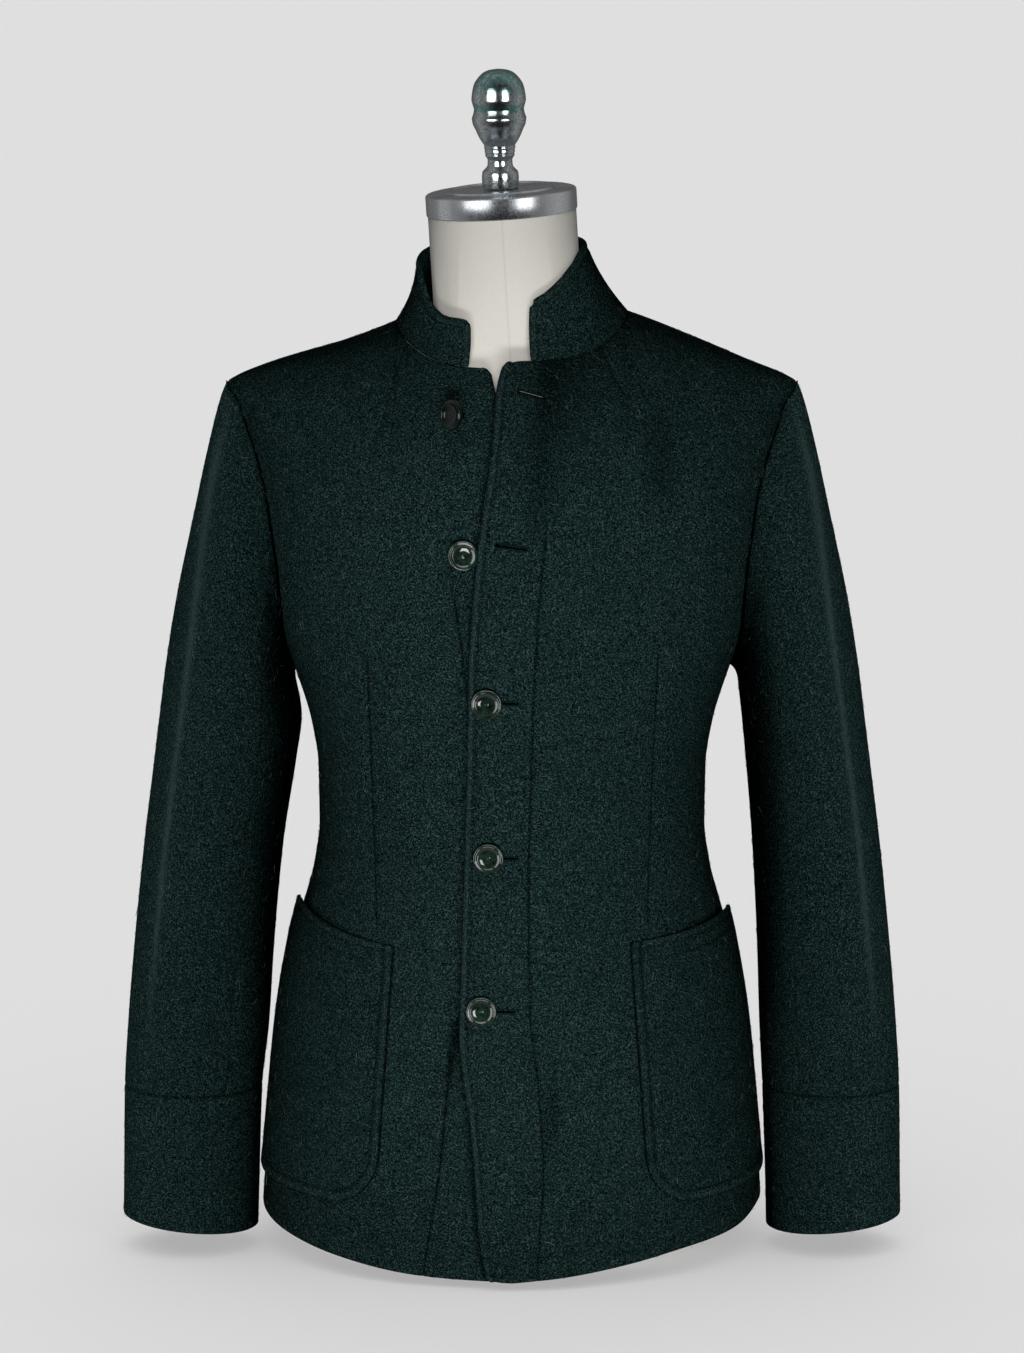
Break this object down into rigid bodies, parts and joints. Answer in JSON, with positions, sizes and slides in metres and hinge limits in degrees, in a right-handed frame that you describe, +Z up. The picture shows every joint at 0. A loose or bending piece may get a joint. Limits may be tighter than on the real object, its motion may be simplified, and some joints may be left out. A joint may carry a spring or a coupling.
{
  "type": "short wool overcoat on a limbless dress form",
  "caption": "Short wool coat with stand collar, left-over-right buttoned front, cuffed sleeves and rounded patch pockets, worn on a limbless dress form with a metal neck cap and turned finial.",
  "frame": {"origin": "on the floor, in the middle of the dress form's flat base, with the whole part's box centred over it", "axes": "+Z is up along the form, the coat's buttoned front faces -Y, and +X is the wearer's left"},
  "size_m": [0.6074, 0.2882, 0.9132],
  "materials": {
    "wool": "felted wool twill with stray light fibres, matt",
    "horn": "dark green polished button with a raised rim",
    "linen": "smooth off-white covering cloth, pulled tight",
    "aluminium": "brushed",
    "lacquer": "glossy grey-green lacquer over metal"
  },
  "bodies": {
    "root": {"front_right": "wool", "band_right": "wool", "front_left": "wool", "band_left": "wool", "back_right": "wool", "back_left": "wool", "collar": "wool", "sleeve_top_right": "wool", "sleeve_under_right": "wool", "cuff_right": "wool", "sleeve_top_left": "wool", "sleeve_under_left": "wool", "cuff_left": "wool", "pocket_right": "wool", "pocket_left": "wool", "button_1": "horn", "button_2": "horn", "button_3": "horn", "button_4": "horn", "button_5": "horn", "form_body": "linen", "neck_cap": "aluminium", "finial": "lacquer"}
  },
  "joints": []
}
